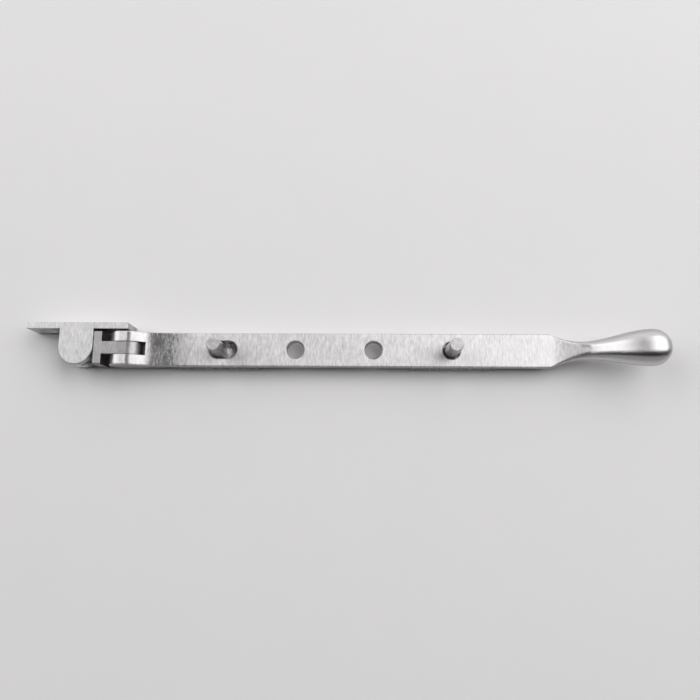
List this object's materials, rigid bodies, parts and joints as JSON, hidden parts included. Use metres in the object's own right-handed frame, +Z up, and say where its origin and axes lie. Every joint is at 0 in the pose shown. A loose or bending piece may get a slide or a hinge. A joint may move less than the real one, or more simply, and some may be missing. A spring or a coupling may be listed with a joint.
{
  "type": "casement window stay",
  "caption": "Casement window stay: perforated flat bar with a raised bulb handle, forked swivel bracket, and separate pegs on screw plates that hold the bar.",
  "frame": {"origin": "centre of the underside of the screw plate of the peg nearer the bulb handle", "axes": "+X along the bar towards the bulb handle, +Y towards the bracket's fixing plate, +Z up along the pegs"},
  "size_m": [0.2991, 0.0206, 0.0254],
  "materials": {
    "bar_metal": "satin chrome, fine brushed grain",
    "bracket_metal": "satin chrome, fine brushed grain",
    "knuckle_metal": "satin chrome, fine brushed grain",
    "peg_metal": "satin chrome, fine brushed grain",
    "plate_metal": "satin chrome, fine brushed grain",
    "pin_metal": "satin chrome, fine brushed grain"
  },
  "bodies": {
    "arm": {"stay_arm": "bar_metal", "fork_pin": "pin_metal"},
    "swivel_block": {"knuckle": "knuckle_metal"},
    "window_bracket": {"bracket": "bracket_metal", "swivel_pin": "pin_metal"},
    "slot_peg": {"slotted_peg": "peg_metal", "slotted_peg_plate": "plate_metal"},
    "hole_peg": {"handle_peg": "peg_metal", "handle_peg_plate": "plate_metal"}
  },
  "joints": [
    {"name": "arm_lift", "type": "hinge", "parent": "arm", "child": "swivel_block", "pos_m": [-0.1542, 0, 0.0072], "axis": [0, 1, 0], "range_deg": [-90, 90]},
    {"name": "bracket_swivel", "type": "hinge", "parent": "swivel_block", "child": "window_bracket", "pos_m": [-0.1765, 0, 0.0065], "axis": [0, 0, 1], "range_deg": [-1.5, 180]},
    {"name": "slotted_peg_lift_off", "type": "slide", "parent": "arm", "child": "slot_peg", "axis": [0, 0, 1], "range_m": [-0.03, 0]},
    {"name": "handle_peg_lift_off", "type": "slide", "parent": "arm", "child": "hole_peg", "axis": [0, 0, 1], "range_m": [-0.03, 0]}
  ]
}
